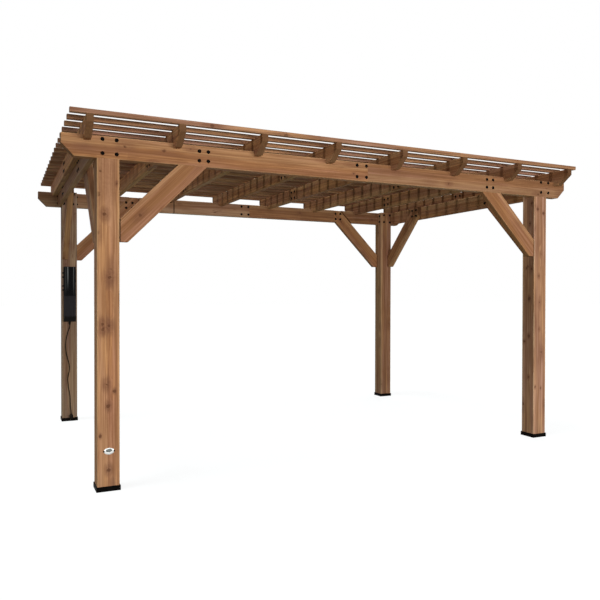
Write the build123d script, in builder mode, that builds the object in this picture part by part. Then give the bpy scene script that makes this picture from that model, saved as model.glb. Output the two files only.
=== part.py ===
from build123d import *
import math
import os

# Wooden garden pergola: four posts in boots, two spliced long beams let into the posts,
# two side beams, eight knee braces, eight rafters and a roof of open slats.
# X runs along the front, Y from front to rear, Z up, with the ground at zero.

# Posts
post_spacing_length = 3700.0
post_spacing_depth = 2490.0
post_width = 140.0
timber_ease = 3.0

# Boots under the posts
boot_wall = 6.0
boot_floor = 6.0
boot_height = 32.0
boot_ease = 2.0

# Long beams at the front and rear
beam_underside = 2127.0
beam_depth = 140.0
beam_thickness = 70.0
beam_overhang = 213.5
beam_end_cut = 76.0
splice_length = 150.0

# Side beams
side_beam_thickness = 38.0

# Knee braces
brace_width = 140.0
brace_thickness = 50.0
brace_tongue = 25.0
brace_reach = 582.0
brace_foot = 55.0
brace_nose = 43.0

# Rafters
rafter_count = 8
rafter_depth = 125.0
rafter_thickness = 44.0
rafter_notch = 35.0
rafter_overhang = 162.0
tail_end_height = 48.0
tail_cut_run = 105.0
rafter_lap = 130.0
rafter_lap_offset = 525.0
end_rafter_gap = 44.0

# Roof slats
slat_count = 18
slats_in_group = 9
slat_width = 38.0
slat_thickness = 29.0
slat_overhang = 51.0
slat_ease = 2.0

# Power box on the rear left post
box_width = 112.0
box_height = 543.0
box_depth = 34.0
box_below_brace = 70.0
box_corner = 8.0
lip_height = 20.0
lip_spacing = 30.0
lip_depth = 12.0
lip_corner = 4.0
cover_margin = 3.0
cover_height = 286.0
cover_depth = 10.0
rib_count = 7
rib_depth = 3.0

# Cord from the power box, its strain relief and its plug
cord_diameter = 8.0
gland_length = 30.0
gland_top_diameter = 22.0
gland_tip_diameter = 13.0
plug_width = 32.0
plug_thickness = 24.0
plug_neck_length = 12.0
plug_body_length = 36.0
plug_corner = 5.0
plug_shoulder = 4.0
pin_width = 6.5
pin_thickness = 1.6
pin_length = 15.0
pin_spacing = 12.7

# Route of the cord from the strain relief down to the plug
cord_route = [
    (-1850.0, 1158.0, 957.0),
    (-1850.0, 1158.0, 900.0),
    (-1876.0, 1157.0, 806.0),
    (-1879.0, 1158.0, 705.0),
    (-1866.0, 1160.0, 612.0),
    (-1847.0, 1158.0, 530.0),
    (-1858.0, 1156.0, 437.0),
    (-1862.0, 1158.0, 341.0),
    (-1849.0, 1157.0, 246.0),
    (-1838.0, 1152.0, 152.0),
    (-1838.0, 1152.0, 76.0),
]
bend_share = 0.45

# How far a cut runs past the piece that it is made in
overrun = 5.0

# Places worked out from the sizes above
post_x = post_spacing_length / 2
post_y = post_spacing_depth / 2
post_inner_x = post_x - post_width / 2
post_inner_y = post_y - post_width / 2
post_outer_x = post_x + post_width / 2
beam_outer_y = post_y + post_width / 2
beam_inner_y = beam_outer_y - beam_thickness
beam_end_x = post_outer_x + beam_overhang
beam_top = beam_underside + beam_depth
rafter_bottom = beam_top - rafter_notch
rafter_top = rafter_bottom + rafter_depth
first_rafter_x = -post_outer_x - side_beam_thickness - rafter_thickness / 2
last_rafter_x = post_outer_x + side_beam_thickness + end_rafter_gap + rafter_thickness / 2
rafter_end_y = beam_outer_y + rafter_overhang
rafter_spacing = (last_rafter_x - first_rafter_x) / (rafter_count - 1)
slat_length = 2 * (last_rafter_x + rafter_thickness / 2 + slat_overhang)
slat_spacing = (2 * rafter_end_y - slat_width) / (slat_count - 1)
brace_cheek = brace_thickness - brace_tongue
brace_foot_level = beam_underside - brace_reach + brace_foot
box_bottom = brace_foot_level - box_below_brace - box_height

# Each corner by its side, left or right, and its end, front or rear
corners = {
    "front_left": (-1, -1),
    "front_right": (1, -1),
    "rear_left": (-1, 1),
    "rear_right": (1, 1),
}


def brace_outline(post_face, direction):
    """Outline of a 45 degree brace that leans from a post face to the middle of a beam."""
    tip = brace_reach + brace_nose
    heel = brace_reach - brace_width * math.sqrt(2)
    outline = [
        (0, brace_foot_level),
        (brace_foot, brace_foot_level),
        (tip, beam_underside + brace_nose),
        (tip, beam_top),
        (heel + beam_depth, beam_top),
        (0, beam_underside - heel),
    ]
    return [(direction * (post_face - run), level) for run, level in outline]


def bend_radii(route):
    """The widest bend that each corner of the route has room for."""
    radii = []
    for before, here, after in zip(route, route[1:], route[2:]):
        run_in = Vector(here) - Vector(before)
        run_out = Vector(after) - Vector(here)
        turn = math.radians(run_in.get_angle(run_out))
        radii.append(bend_share * min(run_in.length, run_out.length) / math.tan(turn / 2))
    return radii


os.makedirs("parts", exist_ok=True)

# Posts, notched on the outer side so that a tongue stands behind the long beam
for corner, (side, end) in corners.items():
    with BuildPart() as post:
        with BuildSketch(Plane.XY.offset(boot_floor)) as post_section:
            with Locations((side * post_x, end * post_y)):
                Rectangle(post_width, post_width)
            chamfer(post_section.vertices(), timber_ease)
        extrude(amount=beam_top - boot_floor)
        with BuildSketch(Plane.XY.offset(beam_underside)):
            with Locations((side * post_x, end * beam_outer_y)):
                Rectangle(post_width + overrun, 2 * beam_thickness)
        extrude(amount=beam_depth + overrun, mode=Mode.SUBTRACT)
    post.part.label = f"{corner}_post"
    export_step(post.part, f"parts/{corner}_post.step")

# Boots, open trays that the posts stand in
for corner, (side, end) in corners.items():
    with BuildPart() as boot:
        with BuildSketch():
            with Locations((side * post_x, end * post_y)):
                Rectangle(post_width + 2 * boot_wall, post_width + 2 * boot_wall)
        extrude(amount=boot_height)
        chamfer(boot.edges().filter_by(Axis.Z), boot_ease)
        chamfer(boot.faces().sort_by(Axis.Z)[-1].edges(), boot_ease)
        with BuildSketch(Plane.XY.offset(boot_floor)):
            with Locations((side * post_x, end * post_y)):
                Rectangle(post_width, post_width)
        extrude(amount=boot_height, mode=Mode.SUBTRACT)
    boot.part.label = f"{corner}_boot"
    export_step(boot.part, f"parts/{corner}_boot.step")

# Long beams in two halves, lapped at the middle, with pockets for the brace tongues
for corner, (side, end) in corners.items():
    lap_start = -side * splice_length / 2
    cut_face = beam_inner_y if side == end else beam_outer_y
    with BuildPart() as beam:
        with BuildSketch(Plane.XZ.offset(-end * beam_inner_y)):
            with BuildLine():
                Polyline(
                    (lap_start, beam_underside),
                    (side * (beam_end_x - beam_end_cut), beam_underside),
                    (side * beam_end_x, beam_underside + beam_end_cut),
                    (side * beam_end_x, beam_top),
                    (lap_start, beam_top),
                    close=True,
                )
            make_face()
        extrude(amount=-end * beam_thickness)
        chamfer(beam.edges().filter_by(Axis.X), timber_ease)
        with BuildSketch(Plane.XY.offset(beam_underside - overrun)):
            with Locations((-side * overrun / 2, end * cut_face)):
                Rectangle(splice_length + overrun, beam_thickness)
        extrude(amount=beam_depth + 2 * overrun, mode=Mode.SUBTRACT)
        with BuildSketch(Plane.XZ.offset(-end * beam_inner_y)):
            with BuildLine():
                Polyline(*brace_outline(post_inner_x, side), close=True)
            make_face()
        extrude(amount=-end * (beam_thickness - brace_cheek), mode=Mode.SUBTRACT)
    beam_name = corner.replace("_", "_beam_")
    beam.part.label = beam_name
    export_step(beam.part, f"parts/{beam_name}.step")

# Side beams on the outer faces of the posts, between the long beams
for beam_name, side in {"left_side_beam": -1, "right_side_beam": 1}.items():
    with BuildPart() as side_beam:
        with BuildSketch(Plane.XY.offset(beam_underside)):
            with Locations((side * (post_outer_x + side_beam_thickness / 2), 0)):
                Rectangle(side_beam_thickness, 2 * beam_inner_y)
        extrude(amount=beam_depth)
        chamfer(side_beam.edges().filter_by(Axis.Y), timber_ease)
    side_beam.part.label = beam_name
    export_step(side_beam.part, f"parts/{beam_name}.step")

# Knee braces along the long beams: the inner half runs up as a tongue into the beam
for corner, (side, end) in corners.items():
    with BuildPart() as long_brace:
        with BuildSketch(Plane.XZ.offset(-end * (beam_outer_y - brace_thickness))):
            with BuildLine():
                Polyline(*brace_outline(post_inner_x, side), close=True)
            make_face()
        extrude(amount=-end * brace_thickness)
        slope = Axis((0, 0, 0), (-side, 0, 1))
        chamfer(long_brace.edges().filter_by(slope), timber_ease)
        with BuildSketch(Plane.XY.offset(beam_underside)):
            with Locations((0, end * beam_outer_y)):
                Rectangle(2 * beam_end_x, 2 * brace_cheek)
        extrude(amount=beam_depth + overrun, mode=Mode.SUBTRACT)
    long_brace.part.label = f"{corner}_long_brace"
    export_step(long_brace.part, f"parts/{corner}_long_brace.step")

# Knee braces along the side beams, lapped whole on the inner face of the beam
for corner, (side, end) in corners.items():
    with BuildPart() as side_brace:
        with BuildSketch(Plane.YZ.offset(side * post_outer_x)):
            with BuildLine():
                Polyline(*brace_outline(post_inner_y, end), close=True)
            make_face()
        extrude(amount=-side * brace_thickness)
        slope = Axis((0, 0, 0), (0, -end, 1))
        chamfer(side_brace.edges().filter_by(slope), timber_ease)
    side_brace.part.label = f"{corner}_side_brace"
    export_step(side_brace.part, f"parts/{corner}_side_brace.step")

# Rafters, notched over both long beams, with tails cut back below
rear_profile = [
    (beam_inner_y, rafter_bottom),
    (beam_inner_y, beam_top),
    (beam_outer_y, beam_top),
    (beam_outer_y, rafter_bottom),
    (rafter_end_y - tail_cut_run, rafter_bottom),
    (rafter_end_y, rafter_top - tail_end_height),
    (rafter_end_y, rafter_top),
]
front_profile = [(-across, level) for across, level in reversed(rear_profile)]

# Each rafter is two pieces, lapped side by side: at the middle in the end rafters,
# before and behind the middle by turns in those between
for number in range(rafter_count):
    rafter_x = first_rafter_x + number * rafter_spacing
    lap_y = rafter_lap_offset if number % 2 == 0 else -rafter_lap_offset
    if number in (0, rafter_count - 1):
        lap_y = 0
    for piece, end in {"front": -1, "rear": 1}.items():
        beyond_lap = (rafter_x, lap_y - end * (rafter_lap / 2 + rafter_end_y))
        lap_cheek = (rafter_x - end * rafter_thickness / 2, lap_y)
        with BuildPart() as rafter:
            with BuildSketch(Plane.YZ.offset(rafter_x)):
                with BuildLine():
                    Polyline(*rear_profile, *front_profile, close=True)
                make_face()
            extrude(amount=rafter_thickness / 2, both=True)
            long_edges = rafter.edges().filter_by(Axis.Y).group_by(Axis.Z)
            chamfer(long_edges[0] + long_edges[-1], slat_ease)
            with BuildSketch(Plane.XY.offset(rafter_bottom - overrun)):
                with Locations(beyond_lap):
                    Rectangle(2 * rafter_thickness, 2 * rafter_end_y)
                with Locations(lap_cheek):
                    Rectangle(rafter_thickness, rafter_lap)
            extrude(amount=rafter_depth + 2 * overrun, mode=Mode.SUBTRACT)
        rafter_name = f"rafter_{number + 1}_{piece}"
        rafter.part.label = rafter_name
        export_step(rafter.part, f"parts/{rafter_name}.step")

# Roof slats across the rafters, a few to a group
for first in range(0, slat_count, slats_in_group):
    group = range(first, min(first + slats_in_group, slat_count))
    rows = [(0, slat_width / 2 - rafter_end_y + row * slat_spacing) for row in group]
    with BuildPart() as slats:
        with BuildSketch(Plane.XY.offset(rafter_top)):
            with Locations(*rows):
                Rectangle(slat_length, slat_width)
        extrude(amount=slat_thickness)
        chamfer(slats.edges().filter_by(Axis.X), slat_ease)
    group_name = f"slats_{first + 1}_to_{group[-1] + 1}"
    slats.part.label = group_name
    export_step(slats.part, f"parts/{group_name}.step")

# Power box on the inner face of the rear left post, with two thicker lips at its foot
box_plane = Plane.XZ.offset(-post_inner_y)
with BuildPart() as power_box:
    with BuildSketch(box_plane) as box_outline:
        with Locations((-post_x, box_bottom + box_height / 2)):
            Rectangle(box_width, box_height)
        fillet(box_outline.vertices(), box_corner)
    extrude(amount=box_depth)
    with BuildSketch(box_plane.offset(box_depth)) as lip_outline:
        with Locations((-post_x, box_bottom + (lip_spacing + lip_height) / 2)):
            with GridLocations(0, lip_spacing, 1, 2):
                Rectangle(box_width, lip_height)
        fillet(lip_outline.vertices(), lip_corner)
    extrude(amount=lip_depth)
power_box.part.label = "power_box"
export_step(power_box.part, "parts/power_box.step")

# Ribbed cover over the upper half of the box
cover_width = box_width - 2 * cover_margin
cover_middle = box_bottom + box_height - cover_margin - cover_height / 2
rib_pitch = (cover_width - box_corner) / rib_count
cover_plane = box_plane.offset(box_depth)
with BuildPart() as power_cover:
    with BuildSketch(cover_plane) as cover_outline:
        with Locations((-post_x, cover_middle)):
            Rectangle(cover_width, cover_height)
        fillet(cover_outline.vertices(), box_corner)
    extrude(amount=cover_depth)
    with BuildSketch(cover_plane.offset(cover_depth)):
        with Locations((-post_x, cover_middle)):
            with GridLocations(rib_pitch, 0, rib_count, 1):
                Rectangle(rib_pitch / 2, cover_height - 2 * box_corner)
    extrude(amount=rib_depth)
power_cover.part.label = "power_cover"
export_step(power_cover.part, "parts/power_cover.step")

# Tapered strain relief where the cord leaves the box
gland_y = post_inner_y - box_depth / 2
with BuildPart() as gland:
    with BuildSketch(Plane.XZ.offset(-gland_y)):
        with BuildLine():
            Polyline(
                (-post_x, box_bottom),
                (gland_top_diameter / 2 - post_x, box_bottom),
                (gland_tip_diameter / 2 - post_x, box_bottom - gland_length),
                (-post_x, box_bottom - gland_length),
                close=True,
            )
        make_face()
    revolve(axis=Axis((-post_x, gland_y, 0), (0, 0, 1)))
gland.part.label = "cord_gland"
export_step(gland.part, "parts/cord_gland.step")

# Cord, in straight runs joined by tangent bends
cord_bends = bend_radii(cord_route)
print("cord bend radii:", [round(radius) for radius in cord_bends])
with BuildPart() as cord:
    with BuildLine() as cord_path:
        FilletPolyline(*cord_route, radius=cord_bends)
    with BuildSketch(Plane(cord_route[0], z_dir=(0, 0, -1))):
        Circle(cord_diameter / 2)
    sweep()
cord.part.label = "cord"
export_step(cord.part, "parts/cord.step")
cord_length = cord_path.wires()[0].length
cord_section = math.pi * cord_diameter**2 / 4
volume_share = cord.part.volume / cord_section / cord_length
print("cord length:", round(cord_length), "volume share:", f"{volume_share:.4f}")

# Plug at the lower end of the cord, with its two pins downwards
plug_plane = Plane(cord_route[-1], x_dir=(1, 0, 0), z_dir=(0, 0, -1))
with BuildPart() as plug:
    with BuildSketch(plug_plane.offset(plug_neck_length)) as plug_outline:
        Rectangle(plug_width, plug_thickness)
        fillet(plug_outline.vertices(), plug_corner)
    extrude(amount=plug_body_length)
    chamfer(plug.faces().sort_by(Axis.Z)[-1].edges(), plug_shoulder)
    with BuildSketch(plug_plane):
        Circle(gland_tip_diameter / 2)
    extrude(amount=plug_neck_length)
    with BuildSketch(plug_plane.offset(plug_neck_length + plug_body_length)):
        with GridLocations(pin_spacing, 0, 2, 1):
            Rectangle(pin_thickness, pin_width)
    extrude(amount=pin_length)
plug.part.label = "plug"
export_step(plug.part, "parts/plug.step")
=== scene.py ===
import itertools
import math

import bmesh
import bpy
from mathutils import Euler, Matrix, Vector


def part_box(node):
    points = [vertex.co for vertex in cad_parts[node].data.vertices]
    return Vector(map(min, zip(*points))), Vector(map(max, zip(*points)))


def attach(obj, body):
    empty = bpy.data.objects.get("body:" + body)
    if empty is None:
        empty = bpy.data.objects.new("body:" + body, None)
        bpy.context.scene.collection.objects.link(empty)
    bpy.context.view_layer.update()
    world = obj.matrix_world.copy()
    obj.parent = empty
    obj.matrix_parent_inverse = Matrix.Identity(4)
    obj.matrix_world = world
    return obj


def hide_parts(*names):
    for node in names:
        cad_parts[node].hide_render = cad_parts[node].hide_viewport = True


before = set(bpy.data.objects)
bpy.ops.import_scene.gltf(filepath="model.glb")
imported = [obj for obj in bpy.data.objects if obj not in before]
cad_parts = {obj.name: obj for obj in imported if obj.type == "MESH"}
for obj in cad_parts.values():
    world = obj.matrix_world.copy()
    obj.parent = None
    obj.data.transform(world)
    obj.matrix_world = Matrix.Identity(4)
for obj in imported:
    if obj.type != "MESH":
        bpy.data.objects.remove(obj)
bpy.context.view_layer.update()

bl_info = {
    "name": "Wooden Garden Pergola",
    "version": (1, 0, 0),
    "blender": (4, 5, 0),
    "location": "View3D > Sidebar > Pergola",
    "description": "Timber finishes, bolts, screws, power box, cord and stage of a garden pergola",
    "category": "Object",
}

# Corners of the pergola, each with its side along X and its end along Y
CORNERS = {
    "front_left": (-1, -1),
    "front_right": (1, -1),
    "rear_left": (-1, 1),
    "rear_right": (1, 1),
}

# Places that the solids give, in metres
POST_LOW, POST_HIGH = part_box("rear_right_post")
BEAM_LOW, BEAM_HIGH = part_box("rear_beam_right")
BOX_LOW, BOX_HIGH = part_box("power_box")
POST_INNER_X = POST_LOW[0]
POST_OUTER_X = POST_HIGH[0]
POST_INNER_Y = POST_LOW[1]
BEAM_OUTER_Y = BEAM_HIGH[1]
BEAM_INNER_Y = BEAM_LOW[1]
FRONT_Y = -BEAM_OUTER_Y
SIDE_BEAM_OUTER_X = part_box("right_side_beam")[1][0]
SIDE_BRACE_INNER_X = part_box("rear_right_side_brace")[0][0]
TONGUE_INNER_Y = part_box("rear_right_long_brace")[0][1]

# Braces: their width, and the reach of their lower edge along the underside of the beam
BRACE_WIDTH = 0.140
BRACE_REACH = 0.582
BRACE_HALF_RISE = BRACE_WIDTH / math.sqrt(2)
BRACE_AXIS_AT_POST = BEAM_LOW[2] - BRACE_REACH + BRACE_HALF_RISE
BRACE_TOP_AT_POST = BRACE_AXIS_AT_POST + BRACE_HALF_RISE

# Roof: the rafters, and the rows of slats from front to rear
RAFTER_COUNT = 8
SLAT_COUNT = 18
SLAT_WIDTH = 0.038
FIRST_SLAT_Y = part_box("slats_1_to_9")[0][1] + SLAT_WIDTH / 2
LAST_SLAT_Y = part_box("slats_10_to_18")[1][1] - SLAT_WIDTH / 2
SLAT_PITCH = (LAST_SLAT_Y - FIRST_SLAT_Y) / (SLAT_COUNT - 1)

# Bolts through the long beams: the columns along X and the rows up Z of each group of four
POST_BOLTS = {
    "front_left": ((-1.885, -1.797), (2.158, 2.248)),
    "front_right": ((1.855, 1.941), (2.166, 2.254)),
    "rear_left": ((-1.902, -1.818), (2.152, 2.238)),
    "rear_right": ((1.818, 1.902), (2.152, 2.238)),
}
BRACE_BOLTS = {
    "front_left": ((-1.252, -1.189), (2.167, 2.231)),
    "front_right": ((1.243, 1.309), (2.168, 2.233)),
    "rear_left": ((-1.284, -1.221), (2.157, 2.212)),
    "rear_right": ((1.189, 1.252), (2.167, 2.231)),
}
SPLICE_BOLTS = ((-0.020, 0.062), (2.157, 2.243))

# Bolts through the side beams: the columns along Y and the rows up Z
SIDE_POST_BOLTS = ((1.213,), (2.156, 2.228))
SIDE_BRACE_BOLTS = ((0.653, 0.574), (2.167, 2.232))

# Bolts through the laps of the rafters, likewise, from the middle of each lap
LAP_BOLTS = ((-0.036, 0.036), (-0.032, 0.030))

# How far a bolt's head or washer is sunk
SUNK = 0.002

# Power box: the height of its two lips, and the lugs beside it, out from its edge and down from its top
LIPS_HEIGHT = 0.051
LUG_GAP = 0.0065
LUG_DROPS = (0.063, 0.104, 0.191, 0.231)
LUG_RADII = (0.0072, 0.0085)

# Painted highlights on the cover, lines of reflected light: place along X, half width, heights from and to
# which they fade in, brightness
PAINTED_HIGHLIGHT_LINES = (
    (-1.871, 0.008, 1.28, 1.46, 0.30),
    (-1.817, 0.006, 1.22, 1.40, 0.14),
    (-1.890, 0.005, 1.22, 1.36, 0.08),
)

# Oval plate on the front left post: its middle, and the height of its face above the post
PLATE_X = -1.8475
PLATE_Z = 0.2565
PLATE_FACE = 0.0026

# Turns that bring the length of an upright, crosswise or lengthwise timber to X
UPRIGHT = (0, math.radians(90), 0)
CROSSWISE = (0, 0, math.radians(-90))
LENGTHWISE = (0, 0, 0)

# Places of the pith across the section, which braces and rafters mirror
LONG_BRACE_PITH = (0.034, 0.050)
SIDE_BRACE_PITH = (0.046, 0.038)
RAFTER_PITH = (0.038, 0.048)
SLAT_PITH = (0.030, -0.034)

# Dark lines at the joints, which at the braces are painted shade beside the posts: half widths, and the place
# along X of the one across the rear beam
LONG_BRACE_SHADE_LINE = 0.010
SIDE_BRACE_SHADE_LINE = 0.006
BEAM_SEAM = 0.008
BEAM_SEAM_X = -0.786

# First seed of each kind of timber, and the step from one group of slats to the next
SEEDS = {"post": 1, "beam": 11, "side_brace": 26, "rafter": 31, "slat": 51, "long_brace": 71}
SLAT_GROUP_STEP = 60

# Shift along the grain, in metres, from one seed or row of slats to the next
SEED_SHIFT = 7.31
ROW_SHIFT = 5.3

# Share of its range by which the tone moves from piece to piece
GOLDEN_SHARE = 0.618034

# Grain of the timber: noise cells to the metre along and across the length, detail and roughness
GRAIN = {
    "wander": ((0.8, 5.0, 5.0), 2.0),
    "streak": ((1.5, 66.0, 66.0), 3.0, 0.65),
    "broad": ((0.5, 8.0, 8.0), 2.0),
    "blotch": ((2.6, 9.0, 9.0), 2.0),
    "blush": ((1.3, 13.0, 13.0), 2.0),
    "line": ((2.4, 150.0, 150.0), 2.0, 0.6),
    "fibre": ((14.0, 480.0, 480.0), 2.0, 0.65),
    "split": ((0.7, 26.0, 26.0), 1.0),
    "split_patch": ((0.9, 4.0, 4.0), 1.0),
    "rub": ((6.0, 40.0, 40.0), 3.0),
    "wobble": ((60.0, 60.0, 60.0), 1.0),
}

# Knots: cells to the metre, least and largest radius, and how the halos are drawn out along the grain
KNOT_CELLS = (4.2, 11.0, 11.0)
KNOT_RADII = (0.003, 0.017)
SCATTERED_DRAW = (0.42, 1.0, 1.0)
PLACED_DRAW = (0.60, 1.0, 1.0)

# Rings: sway of the pith, push of the knots and width of a band, and the soft edge of the sapwood
PITH_SWAY = 0.05
KNOT_PUSH = 0.006
BAND_WIDTH = 0.013
SAP_FADE = 0.016
SAP_WOBBLE = 0.006

# Heights at which the dust on the posts ends and is full
DUST_TOP = 0.34
DUST_FULL = 0.03

# Colours of dust and wear, linear
TIMBER_DUST = (0.33, 0.24, 0.17)
STEEL_DUST = (0.020, 0.017, 0.014)
STEEL_SCUFF = (0.050, 0.046, 0.042)
PLASTIC_DUST = (0.040, 0.035, 0.032)
RUBBER_BLACK = (0.010, 0.006, 0.004)
RUBBER_DUST = (0.034, 0.024, 0.017)

# Knots, and one patch of painted shade, in the faces of the timbers: place, radius of the knot, radius and
# strength of its halo
KNOTS = {
    "front_left_post": (
        # Painted shade under the beam and braces: a broad dark halo with no knot at the top of the post
        ((-1.860, FRONT_Y, 2.010), 0.0001, 0.060, 0.55),
        ((-1.873, FRONT_Y, 1.772), 0.011, 0.017, 1.0),
        ((-1.798, FRONT_Y, 1.972), 0.007, 0.009, 1.0),
        ((-1.841, FRONT_Y, 1.369), 0.011, 0.021, 1.0),
        ((-1.887, FRONT_Y, 1.072), 0.010, 0.014, 1.0),
        ((-1.884, FRONT_Y, 1.037), 0.011, 0.014, 1.0),
        ((-1.847, FRONT_Y, 1.059), 0.009, 0.017, 1.0),
        ((-1.861, FRONT_Y, 0.684), 0.006, 0.015, 0.9),
        ((-1.813, FRONT_Y, 0.640), 0.010, 0.007, 0.9),
        ((-1.852, FRONT_Y, 0.545), 0.012, 0.011, 1.0),
        ((-1.902, FRONT_Y, 0.358), 0.011, 0.006, 0.8),
        ((-1.849, FRONT_Y, 0.138), 0.012, 0.013, 1.0),
    ),
    "front_right_post": (
        ((1.819, FRONT_Y, 2.018), 0.013, 0.008, 0.8),
        ((1.887, FRONT_Y, 1.984), 0.013, 0.008, 0.8),
        ((1.837, FRONT_Y, 1.427), 0.011, 0.009, 0.8),
        ((1.845, FRONT_Y, 1.193), 0.006, 0.007, 0.8),
        ((1.841, FRONT_Y, 0.958), 0.005, 0.007, 0.8),
        ((1.797, FRONT_Y, 0.447), 0.010, 0.006, 0.8),
        ((1.863, FRONT_Y, 0.434), 0.007, 0.006, 0.8),
        ((POST_INNER_X, -1.283, 2.068), 0.013, 0.009, 0.8),
        ((POST_INNER_X, -1.263, 1.893), 0.009, 0.008, 0.8),
        ((POST_INNER_X, -1.224, 1.500), 0.013, 0.009, 0.8),
        ((POST_INNER_X, -1.284, 1.489), 0.009, 0.008, 0.8),
        ((POST_INNER_X, -1.259, 1.228), 0.015, 0.009, 0.8),
        ((POST_INNER_X, -1.255, 0.894), 0.015, 0.009, 0.8),
        ((POST_INNER_X, -1.203, 0.842), 0.013, 0.009, 0.8),
        ((POST_INNER_X, -1.255, 0.529), 0.009, 0.008, 0.8),
    ),
    "front_beam_left": (
        ((-1.493, FRONT_Y, 2.209), 0.011, 0.007, 0.8),
        ((-0.049, FRONT_Y, 2.176), 0.007, 0.006, 0.8),
    ),
    "front_beam_right": (((0.844, FRONT_Y, 2.167), 0.009, 0.012, 0.8),),
}

# Route of the cord from the strain relief down to the plug
CORD_ROUTE = [
    (-1.850, 1.158, 0.957),
    (-1.850, 1.158, 0.935),
    (-1.865, 1.158, 0.893),
    (-1.889, 1.157, 0.806),
    (-1.890, 1.158, 0.705),
    (-1.869, 1.160, 0.612),
    (-1.847, 1.158, 0.530),
    (-1.873, 1.156, 0.437),
    (-1.864, 1.158, 0.341),
    (-1.848, 1.157, 0.246),
    (-1.848, 1.152, 0.152),
    (-1.838, 1.152, 0.076),
]

# Stage: the floor, the suns' directions and spreads, the softbox, and the camera with its yaw, pitch and roll
FLOOR_REACH = 60.0
FLOOR_GLOW = 0.88
OVERHEAD_SUN = ((-0.25, -0.03, 0.968), 16)
REAR_SUN = ((0.55, 0.70, 0.42), 60)
SUN_DISTANCE = 12
SOFTBOX_PLACE = (0.3, -9.0, 1.5)
SOFTBOX_SIZE = (7.0, 1.2)
CAMERA_PLACE = (-2.4795, -5.5288, 1.2683)
CAMERA_ANGLES = (25.192, -0.579, 0.10)
CAMERA_SENSOR = 36.0
CAMERA_FAR = 300.0


def length_property(name, description, default):
    """A size in metres."""
    return bpy.props.FloatProperty(
        name=name, description=description, default=default, min=0.0, precision=4, unit="LENGTH"
    )


def colour_property(name, description, default):
    """A linear colour."""
    return bpy.props.FloatVectorProperty(
        name=name, description=description, default=default, size=3, min=0.0, max=1.0, subtype="COLOR"
    )


def share_property(name, description, default):
    """A share from nothing to all."""
    return bpy.props.FloatProperty(
        name=name, description=description, default=default, min=0.0, max=1.0, subtype="FACTOR"
    )


def light_property(name, description, default, unit="NONE"):
    """A power or a strength of light."""
    return bpy.props.FloatProperty(name=name, description=description, default=default, min=0.0, unit=unit)


class PergolaTimberSettings(bpy.types.PropertyGroup):
    """Colours and grain of the stained timber"""

    light: colour_property("Light grain", "Colour of the paler grain", (0.500, 0.230, 0.098))
    rosy: colour_property("Rosy grain", "Colour of the paler grain where it is pink", (0.410, 0.190, 0.110))
    dark: colour_property("Dark grain", "Colour of the darker grain", (0.215, 0.088, 0.040))
    late: colour_property("Late wood", "Colour of the hard lines between the rings", (0.190, 0.070, 0.027))
    sapwood: colour_property("Sapwood", "Colour of the pale outer wood", (0.590, 0.335, 0.165))
    # The knot halo colour is also the colour of the painted shade patch at the top of the front left post
    halo: colour_property("Knot halo", "Colour of the wood round a knot", (0.180, 0.070, 0.040))
    knot: colour_property("Knots", "Colour of the knots", (0.085, 0.030, 0.015))
    end_grain: colour_property("End grain", "Colour of the sawn ends", (0.120, 0.058, 0.027))
    # This dark colour also paints the shade in the recess where each brace meets its post
    seam: colour_property("Seam", "Colour of the dark line at a joint", (0.020, 0.012, 0.008))
    ring_spacing: length_property("Ring spacing", "Width of one growth ring", 0.0052)
    sap_radius: length_property("Sapwood radius", "Distance from the pith at which the sapwood starts", 0.086)
    # Paler edges: partly wear, partly a painted highlight along the edges
    edge_wear_and_highlight: share_property("Edge wear", "How pale the rubbed edges are", 0.45)
    foot_dust: share_property("Foot dust", "How dusty the foot of each post is", 0.15)


class PergolaHardwareSettings(bpy.types.PropertyGroup):
    """Sizes and colours of the fasteners, boots, box and cord"""

    bolt_head: length_property("Bolt head", "Diameter of a domed bolt head", 0.025)
    bolt_height: length_property("Bolt head height", "Height of a domed bolt head", 0.0065)
    washer: length_property("Washer", "Diameter of a washer", 0.026)
    nut: length_property("Nut", "Width of a hexagon nut across its flats", 0.017)
    screw_head: length_property("Screw head", "Diameter of a screw head", 0.0085)
    plate_length: length_property("Plate length", "Length of the bare oval plate", 0.066)
    plate_height: length_property("Plate height", "Height of the bare oval plate", 0.042)
    cord: length_property("Cord", "Diameter of the cord", 0.008)
    black: colour_property("Black coat", "Colour of the coated steel", (0.0030, 0.0022, 0.0018))
    plastic: colour_property("Plastic", "Colour of the moulded box", (0.0160, 0.0138, 0.0160))
    gloss: colour_property("Cover", "Colour of the glossy cover of the box", (0.0030, 0.0030, 0.0036))
    plate_rim: colour_property("Plate rim", "Colour of the plate's rim", (0.62, 0.62, 0.60))
    plate_field: colour_property("Plate field", "Colour of the plate's blank field", (0.13, 0.14, 0.13))


class PergolaStageSettings(bpy.types.PropertyGroup):
    """Floor, light and camera"""

    floor: colour_property("Floor", "Colour of the floor as it is seen", (0.125, 0.125, 0.125))
    bounce: colour_property("Floor bounce", "Colour of the light from the floor", (0.15, 0.18, 0.14))
    key: light_property("Front light", "Power of the soft light before the front", 560.0, "POWER")
    overhead: light_property("Overhead light", "Strength of the light from above", 2.6)
    overhead_tint: colour_property("Overhead tint", "Colour of the light from above", (0.90, 1.0, 1.0))
    rim: light_property("Rear light", "Strength of the rear light", 3.0)
    sky: light_property("Sky", "Strength of the light all round", 0.13)
    sky_tint: colour_property("Sky tint", "Colour of the light all round", (0.70, 0.86, 1.0))
    lens: bpy.props.FloatProperty(
        name="Lens", description="Focal length of the camera", default=38.33, min=1.0, unit="CAMERA"
    )


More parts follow.
